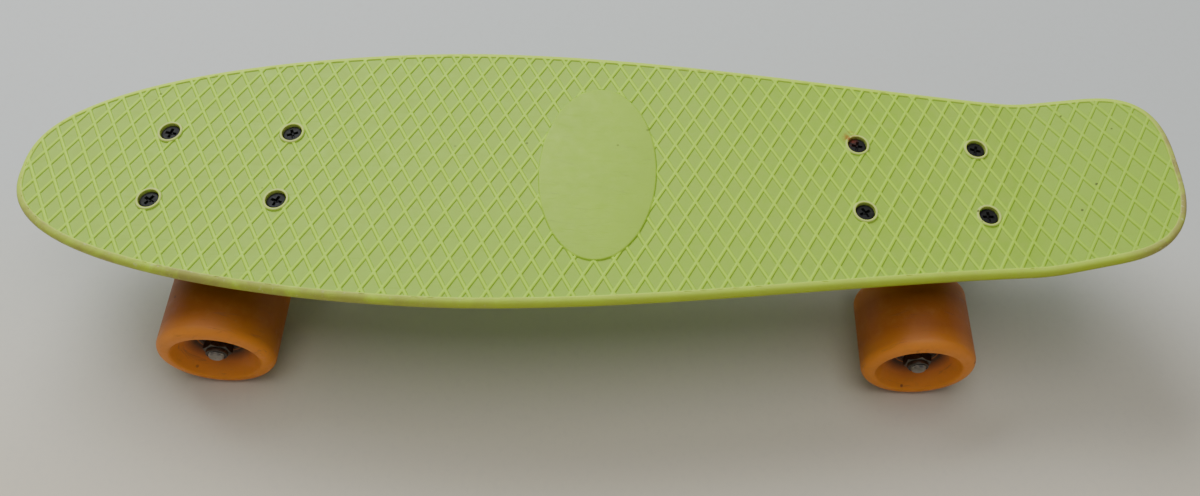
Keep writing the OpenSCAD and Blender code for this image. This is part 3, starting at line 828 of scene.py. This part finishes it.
# ---------------------------------------------------------------- materials
class Finish:
    """A procedural material: a Principled BSDF and short calls that add nodes to it."""

    def __init__(self, name, **constants):
        self.mat = bpy.data.materials.new(name)
        self.mat.use_nodes = True
        self.tree = self.mat.node_tree
        self.bsdf = next(n for n in self.tree.nodes if n.type == "BSDF_PRINCIPLED")
        for key, value in constants.items():
            self.bsdf.inputs[key.replace("_", " ")].default_value = value
        self.coord = self.node("ShaderNodeTexCoord").outputs["Object"]

    def node(self, kind, **props):
        n = self.tree.nodes.new(kind)
        for key, value in props.items():
            setattr(n, key, value)
        return n

    def feed(self, socket, value):
        if isinstance(value, bpy.types.NodeSocket):
            self.tree.links.new(value, socket)
        elif value is not None:
            socket.default_value = value

    def colour(self, value):
        return (*value, 1.0) if isinstance(value, tuple) and len(value) == 3 else value

    def attr(self, name):
        return self.node("ShaderNodeAttribute", attribute_name=name).outputs["Fac"]

    def part(self, axis):
        n = self.node("ShaderNodeSeparateXYZ")
        self.feed(n.inputs[0], self.coord)
        return n.outputs[axis]

    def normal(self, axis):
        n = self.node("ShaderNodeSeparateXYZ")
        self.feed(n.inputs[0], self.node("ShaderNodeNewGeometry").outputs["Normal"])
        return n.outputs[axis]

    def stretched(self, scale, offset=(0, 0, 0)):
        n = self.node("ShaderNodeMapping")
        self.feed(n.inputs["Vector"], self.coord)
        n.inputs["Scale"].default_value = scale
        n.inputs["Location"].default_value = offset
        return n.outputs[0]

    def noise(self, scale, detail=3.0, rough=0.5, vector=None, distortion=0.0):
        n = self.node("ShaderNodeTexNoise")
        self.feed(n.inputs["Vector"], vector or self.coord)
        n.inputs["Scale"].default_value = scale
        n.inputs["Detail"].default_value = detail
        n.inputs["Roughness"].default_value = rough
        n.inputs["Distortion"].default_value = distortion
        return n.outputs["Fac"]

    def cells(self, scale, vector=None, feature="F1"):
        n = self.node("ShaderNodeTexVoronoi", feature=feature)
        self.feed(n.inputs["Vector"], vector or self.coord)
        n.inputs["Scale"].default_value = scale
        return n.outputs["Distance"]

    def span(self, value, low, high, out_low=0.0, out_high=1.0):
        n = self.node("ShaderNodeMapRange", clamp=True)
        for key, v in zip(("Value", "From Min", "From Max", "To Min", "To Max"),
                          (value, low, high, out_low, out_high)):
            self.feed(n.inputs[key], v)
        return n.outputs[0]

    def math(self, how, a, b=None):
        n = self.node("ShaderNodeMath", operation=how)
        self.feed(n.inputs[0], a)
        self.feed(n.inputs[1], b)
        return n.outputs[0]

    def times(self, *values):
        out = values[0]
        for v in values[1:]:
            out = self.math("MULTIPLY", out, v)
        return out

    def mix(self, share, a, b, how="MIX"):
        n = self.node("ShaderNodeMix", data_type="RGBA", blend_type=how)
        self.feed(n.inputs[0], share)
        self.feed(n.inputs[6], self.colour(a))
        self.feed(n.inputs[7], self.colour(b))
        return n.outputs[2]

    def bump(self, height, strength=0.3, distance=0.0005, below=None):
        n = self.node("ShaderNodeBump")
        n.inputs["Strength"].default_value = strength
        n.inputs["Distance"].default_value = distance
        self.feed(n.inputs["Height"], height)
        if below is not None:
            self.feed(n.inputs["Normal"], below)
        return n.outputs[0]

    def done(self, colour=None, rough=None, normal=None, metal=None):
        for key, value in (("Base Color", self.colour(colour)), ("Roughness", rough), ("Normal", normal),
                           ("Metallic", metal)):
            if value is not None:
                self.feed(self.bsdf.inputs[key], value)
        return self.mat


def deck_finish():
    f = Finish("lime_polypropylene", Specular_IOR_Level=0.42, Subsurface_Weight=0.06, Subsurface_Scale=0.004)
    f.bsdf.inputs["Subsurface Radius"].default_value = (0.7, 1.0, 0.25)
    f.bsdf.inputs["Specular Tint"].default_value = (0.86, 1.0, 0.42, 1.0)
    relief, rim, collar, oval = (f.attr(k) for k in ("relief", "rim", "collar", "oval"))
    broad = f.noise(9, 3, 0.55)
    fine = f.noise(160, 4, 0.6)
    grain = f.noise(1100, 3, 0.6)
    up = f.span(f.normal("Z"), -0.1, 0.35)
    floor = f.mix(f.span(broad, 0.35, 0.7), (0.320, 0.535, 0.042), (0.335, 0.540, 0.054))
    dusty = f.times(f.span(fine, 0.38, 0.72), up, 0.35)
    floor = f.mix(dusty, floor, (0.400, 0.545, 0.100))
    # The rib tops are painted brighter and yellower than the cell floors: a painted highlight on the ribs.
    ridge = f.mix(f.span(broad, 0.3, 0.7), (0.450, 0.740, 0.034), (0.470, 0.750, 0.042))
    colour = f.mix(f.span(relief, 0.45, 0.95), floor, ridge)
    cloudy = f.span(f.noise(28, 4, 0.6), 0.3, 0.7, 0.75, 1.0)
    colour = f.mix(f.times(oval, cloudy), colour, (0.335, 0.530, 0.052))
    streaks = f.noise(1.0, 4, 0.65, f.stretched((40, 300, 40), (0.3, 0.1, 0)), 1.2)
    colour = f.mix(f.times(oval, f.span(streaks, 0.60, 0.75), 0.35), colour, (0.20, 0.25, 0.075))
    colour = f.mix(f.times(collar, f.span(fine, 0.25, 0.6, 0.7, 1.0)), colour, (0.56, 0.66, 0.16))
    x, y = f.part("X"), f.part("Y")
    # The kicked tail is painted darker than the rest of the deck: painted shade, since the tail faces the
    # window lamp.
    colour = f.mix(f.span(x, 0.205, 0.235, 0.0, 0.45), colour, (0.265, 0.455, 0.030))
    # The rim and the top of the bead are painted paler and yellower: a painted highlight along the rim.
    colour = f.mix(f.times(rim, 0.65), colour, (0.600, 0.790, 0.075))
    side = f.attr("side")
    # The deck's side is painted more olive and darker towards its bottom: painted shade on the lower,
    # downward-facing half of the bead.
    colour = f.mix(f.span(side, 0.10, 0.40, 0.0, 0.6), colour, (0.500, 0.640, 0.030))
    colour = f.mix(f.span(side, 0.36, 0.62, 0.0, 0.65), colour, (0.300, 0.360, 0.035))
    # Dirt on the rim: along the left side of the nose, round the tail, and lightly elsewhere
    nose = f.times(f.span(x, -0.10, -0.17), f.span(y, 0.0, -0.03))
    tail = f.times(f.span(x, 0.255, 0.280), f.span(y, 0.042, 0.012), 1.3)
    left = f.times(f.span(y, -0.035, -0.05), f.span(x, -0.02, -0.12, 0.22, 0.8))
    worn = f.math("MAXIMUM", f.math("MAXIMUM", nose, tail), left)
    blots = f.noise(55, 5, 0.62, None, 0.6)
    dirt = f.times(f.span(rim, 0.35, 1.0), worn, f.span(blots, 0.34, 0.60), 0.85)
    colour = f.mix(dirt, colour, (0.37, 0.33, 0.105))
    nicks = f.noise(420, 4, 0.62, f.stretched((1, 1, 1), (2, 0, 0)))
    pale = f.times(f.span(rim, 0.4, 1.0), worn, f.span(nicks, 0.60, 0.70), 0.5)
    colour = f.mix(pale, colour, (0.66, 0.66, 0.34))
    # Small dark specks
    patches = f.span(f.noise(22, 2, 0.5, f.stretched((1, 1, 1), (5, 1, 0))), 0.56, 0.62)
    spots = f.times(f.span(f.cells(85), 0.075, 0.05), patches, 0.85)
    colour = f.mix(spots, colour, (0.055, 0.05, 0.03))
    rust = rust_share(f)
    colour = f.mix(f.times(rust, 0.85), colour, (0.30, 0.055, 0.020))
    rough = f.span(fine, 0.25, 0.75, 0.40, 0.62)
    height = f.math("ADD", f.times(grain, 0.35), f.times(fine, 0.65))
    scuffs = f.noise(1.0, 5, 0.6, f.stretched((70, 420, 70), (1, 0, 0)), 0.8)
    height = f.math("ADD", height, f.times(f.span(scuffs, 0.58, 0.7), -0.6))
    return f.done(colour, rough, f.bump(height, 0.28, 0.0004))


def rust_share(f):
    """Share of rust tint at the outer side of one rear bolt."""
    cx, cy = REAR_X - BOLT_DX / 2, BOLT_DY / 2
    dx = f.math("SUBTRACT", f.part("X"), (cx - 3.2) * MM)
    dy = f.math("SUBTRACT", f.part("Y"), (cy + 4.5) * MM)
    reach = f.math("SQRT", f.math("ADD", f.times(dx, dx), f.times(dy, dy)))
    near = f.span(reach, 0.0052, 0.002)
    return f.times(near, f.span(f.noise(420, 3, 0.6), 0.35, 0.6))


def urethane_finish():
    f = Finish("orange_urethane", Specular_IOR_Level=0.38, Subsurface_Weight=0.10, Subsurface_Scale=0.006)
    f.bsdf.inputs["Subsurface Radius"].default_value = (1.0, 0.45, 0.12)
    broad, fine, grain = f.noise(26, 4, 0.6), f.noise(190, 5, 0.62), f.noise(900, 3, 0.6)
    base = f.mix(f.span(broad, 0.3, 0.7), (0.33, 0.088, 0.008), (0.39, 0.108, 0.012))
    # The lips and outer face are painted far brighter than the tread and inner face: a painted highlight,
    # making lit and shaded copies of one urethane.
    base = f.mix(f.times(f.attr("lip"), 0.8), base, (0.88, 0.310, 0.040))
    # The dish is painted darker and redder towards its middle: painted shade inside the dish.
    base = f.mix(f.times(f.attr("dish"), 0.75), base, (0.54, 0.145, 0.030))
    # Near-black painted shade deep in the dish round the bearing, with some grime.
    base = f.mix(f.times(f.attr("grime"), f.span(fine, 0.2, 0.6, 0.85, 1.0)), base, (0.030, 0.014, 0.008))
    base = f.mix(f.times(f.span(fine, 0.5, 0.75), 0.25), base, (0.46, 0.205, 0.060))
    marks = f.span(f.noise(1.0, 5, 0.66, f.stretched((60, 480, 60)), 0.6), 0.60, 0.70)
    base = f.mix(f.times(marks, 0.45), base, (0.22, 0.085, 0.025))
    spots = f.times(f.span(f.cells(95), 0.10, 0.06), f.span(f.noise(30, 2), 0.56, 0.6), 0.7)
    base = f.mix(spots, base, (0.11, 0.035, 0.015))
    rough = f.span(fine, 0.3, 0.7, 0.46, 0.66)
    height = f.math("ADD", f.times(grain, 0.4), f.math("ADD", fine, f.times(marks, -0.5)))
    return f.done(base, rough, f.bump(height, 0.30, 0.0004))


def steel_finish(name, light, dark, stain, rough=(0.24, 0.42), nylon=None, rust=0.0):
    f = Finish(name, Metallic=1.0)
    broad, fine, grain = f.noise(90, 4, 0.6), f.noise(600, 4, 0.6), f.noise(2600, 2, 0.5)
    colour = f.mix(f.span(broad, 0.3, 0.7), light, dark)
    colour = f.mix(f.times(f.span(fine, 0.56, 0.72), 0.6), colour, stain)
    metal = 1.0
    if rust:
        rusty = f.times(f.span(f.noise(210, 5, 0.65, f.stretched((1, 1, 1), (3, 2, 1))), 0.60, 0.70), rust)
        colour = f.mix(rusty, colour, (0.20, 0.075, 0.03))
        metal = f.span(rusty, 0, 1, 1.0, 0.15)
    if nylon:
        ring = f.attr("nylon")
        colour = f.mix(ring, colour, nylon)
        metal = f.times(metal, f.span(ring, 0, 1, 1.0, 0.0)) if rust else f.span(ring, 0, 1, 1.0, 0.0)
    height = f.math("ADD", f.times(fine, 0.6), f.times(grain, 0.4))
    return f.done(colour, f.span(broad, 0.3, 0.7, *rough), f.bump(height, 0.22, 0.00015),
                  metal if isinstance(metal, bpy.types.NodeSocket) else None)


def black_steel_finish():
    f = Finish("black_oxide_steel", Specular_IOR_Level=0.25)
    fine, broad = f.noise(520, 4, 0.62), f.noise(150, 3)
    rubbed = f.span(fine, 0.55, 0.72)
    colour = f.mix(f.span(broad, 0.35, 0.7), (0.004, 0.004, 0.005), (0.009, 0.008, 0.007))
    colour = f.mix(f.times(rubbed, 0.35), colour, (0.070, 0.066, 0.060))
    colour = f.mix(f.attr("recess"), colour, (0.006, 0.006, 0.007))
    colour = f.mix(f.times(rust_share(f), 0.9), colour, (0.16, 0.03, 0.015))
    metal = f.span(rubbed, 0, 1, 0.0, 0.35)
    rough = f.span(fine, 0.3, 0.7, 0.50, 0.68)
    return f.done(colour, rough, f.bump(fine, 0.25, 0.0002), metal)


def cast_finish():
    f = Finish("cast_aluminium", Metallic=1.0)
    broad, sand, fine = f.noise(35, 4, 0.6), f.noise(900, 4, 0.65), f.noise(240, 4)
    colour = f.mix(f.span(broad, 0.3, 0.7), (0.46, 0.465, 0.475), (0.57, 0.575, 0.58))
    open_air = f.node("ShaderNodeAmbientOcclusion").outputs["AO"]
    grime = f.times(f.span(fine, 0.46, 0.7), f.span(open_air, 0.95, 0.5, 0.25, 1.0))
    colour = f.mix(grime, colour, (0.24, 0.225, 0.20))
    rough = f.span(sand, 0.3, 0.7, 0.38, 0.60)
    height = f.math("ADD", f.times(sand, 0.7), f.times(fine, 0.3))
    return f.done(colour, rough, f.bump(height, 0.35, 0.0003))


def soft_finish(name, light, dark, stain, rough=(0.45, 0.65), sss=0.0, scale=180):
    f = Finish(name, Specular_IOR_Level=0.4, Subsurface_Weight=sss, Subsurface_Scale=0.003)
    broad, fine = f.noise(40, 3), f.noise(scale, 5, 0.62)
    colour = f.mix(f.span(broad, 0.3, 0.7), light, dark)
    colour = f.mix(f.times(f.span(fine, 0.52, 0.72), 0.65), colour, stain)
    return f.done(colour, f.span(fine, 0.3, 0.7, *rough), f.bump(fine, 0.25, 0.0003))


def floor_finish():
    f = Finish("pale_floor", Specular_IOR_Level=0.25)
    broad, fine = f.noise(2.2, 3, 0.5), f.noise(240, 4, 0.6)
    far = f.mix(f.span(broad, 0.3, 0.7), (0.60, 0.62, 0.61), (0.615, 0.625, 0.61))
    near = f.mix(f.span(broad, 0.3, 0.7), (0.70, 0.62, 0.47), (0.71, 0.63, 0.49))
    # The floor is painted warmer towards the near side: a painted pool of warm light.
    colour = f.mix(f.span(f.part("Y"), 0.06, -0.20), far, near)
    colour = f.mix(f.times(f.span(fine, 0.5, 0.75), 0.15), colour, (0.52, 0.50, 0.46))
    return f.done(colour, 0.75, f.bump(fine, 0.05, 0.0004))


def paint(obj, material):
    obj.data.materials.clear()
    obj.data.materials.append(material)
    return obj


# ---------------------------------------------------------------- assembly
MATERIAL = {
    "deck_plastic": deck_finish(),
    "wheel_urethane": urethane_finish(),
    "black_steel": black_steel_finish(),
    "zinc_steel": steel_finish(
        "zinc_plated_steel", (0.50, 0.50, 0.49), (0.40, 0.40, 0.385), (0.22, 0.205, 0.18),
        nylon=(0.50, 0.50, 0.47), rust=0.45),
    # Steel darkened by grime and by painted shade, for the bearings' rings and the axle nuts deep in the
    # wheels' dishes.
    "grimy_shaded_steel": steel_finish(
        "grimy_shaded_steel", (0.13, 0.125, 0.115), (0.07, 0.066, 0.06), (0.045, 0.036, 0.028), (0.34, 0.55),
        nylon=(0.060, 0.055, 0.048), rust=0.6),
    "axle_steel": steel_finish(
        "axle_steel", (0.44, 0.43, 0.41), (0.20, 0.19, 0.18), (0.10, 0.08, 0.06), (0.26, 0.44), rust=0.5),
    "bearing_steel": steel_finish(
        "bearing_steel", (0.40, 0.39, 0.37), (0.28, 0.27, 0.25), (0.14, 0.12, 0.10), (0.20, 0.36)),
    "truck_alloy": cast_finish(),
    "bushing_urethane": soft_finish(
        "bushing_urethane", (0.74, 0.70, 0.56), (0.66, 0.61, 0.46), (0.40, 0.34, 0.22), sss=0.1),
    "black_plastic": soft_finish(
        "black_plastic", (0.018, 0.018, 0.020), (0.028, 0.028, 0.030), (0.085, 0.08, 0.07)),
    "cage_nylon": soft_finish(
        "cage_nylon", (0.66, 0.63, 0.52), (0.60, 0.57, 0.46), (0.40, 0.36, 0.27), sss=0.1),
    "shield_rubber": soft_finish(
        "shield_rubber", (0.020, 0.021, 0.024), (0.032, 0.033, 0.036), (0.10, 0.09, 0.075), scale=700),
}

CORNERS = ("front_left", "front_right", "rear_left", "rear_right")
paint(build_deck(), MATERIAL["deck_plastic"])
bolts, nuts = build_bolts()
paint(bolts, MATERIAL["black_steel"])
paint(nuts, MATERIAL["zinc_steel"])
for end in ("front", "rear"):
    paint(build_axle(end), MATERIAL["axle_steel"])
    build_truck_hardware(end)
    build_casting(f"{end}_hanger", f"{end}_hanger")
    build_casting(f"{end}_baseplate", "deck")
for number, corner in enumerate(CORNERS):
    paint(build_wheel(corner), MATERIAL["wheel_urethane"])
    paint(build_axle_nut(corner, 0.2 + 0.37 * number), MATERIAL["grimy_shaded_steel"])

# The CAD nodes that still show get their finish by the end of their name
BY_NAME = {
    "pivot_cup": "black_plastic", "spacer": "zinc_steel", "speed_washers": "zinc_steel",
    "bearing_outer_rings": "grimy_shaded_steel", "bearing_inner_rings": "grimy_shaded_steel",
    "bearing_balls": "bearing_steel", "bearing_cages": "cage_nylon", "bearing_shields": "shield_rubber",
}
for name, obj in NODES.items():
    if obj.hide_render:
        continue
    key = next(k for k in BY_NAME if name.endswith(k))
    paint(obj, MATERIAL[BY_NAME[key]])

# ---------------------------------------------------------------- floor, lights and camera
floor_mesh = bpy.data.meshes.new("floor")
floor_mesh.from_pydata([(-6, -5, 0), (6, -5, 0), (6, 7, 0), (-6, 7, 0)], [], [(0, 1, 2, 3)])
floor = bpy.data.objects.new("floor", floor_mesh)
bpy.context.scene.collection.objects.link(floor)
paint(floor, floor_finish())


def area_light(name, place, target, size, watts, colour):
    data = bpy.data.lights.new(name, "AREA")
    data.shape = "RECTANGLE"
    data.size, data.size_y = size
    data.energy = watts
    data.color = colour
    lamp = bpy.data.objects.new(name, data)
    bpy.context.scene.collection.objects.link(lamp)
    lamp.location = place
    lamp.rotation_euler = (Vector(target) - Vector(place)).to_track_quat("-Z", "Y").to_euler()


area_light("window", (-0.75, 1.35, 1.75), (0.0, 0.0, 0.05), (1.7, 1.1), 52, (0.94, 0.98, 1.0))
area_light("ceiling", (0.1, 0.0, 2.6), (0.0, 0.0, 0.05), (1.8, 1.8), 24, (1.0, 0.97, 0.92))
area_light("fill", (-0.4, -1.7, 1.0), (0.0, -0.1, 0.05), (1.6, 1.0), 2.4, (1.0, 0.80, 0.54))

world = bpy.data.worlds.new("studio")
world.use_nodes = True
world.node_tree.nodes["Background"].inputs[0].default_value = (0.86, 0.90, 0.95, 1)
world.node_tree.nodes["Background"].inputs[1].default_value = 0.20
bpy.context.scene.world = world

PHOTO_W, PHOTO_H = 1200, 496
FOCAL_PX = 1118.2
CENTRE_PX = (660.7, 128.0)
camera = bpy.data.cameras.new("camera")
camera.sensor_width = 36
camera.lens = FOCAL_PX / PHOTO_W * camera.sensor_width
camera.shift_x = (PHOTO_W / 2 - CENTRE_PX[0]) / PHOTO_W
camera.shift_y = (CENTRE_PX[1] - PHOTO_H / 2) / PHOTO_W
camera.clip_start = 0.05
camera.clip_end = 50
eye = bpy.data.objects.new("camera", camera)
eye.location = (0.0175, -0.3218, 0.5649)
eye.rotation_euler = [math.radians(a) for a in (36.250, -1.930, 0.223)]
bpy.context.scene.collection.objects.link(eye)
bpy.context.scene.camera = eye
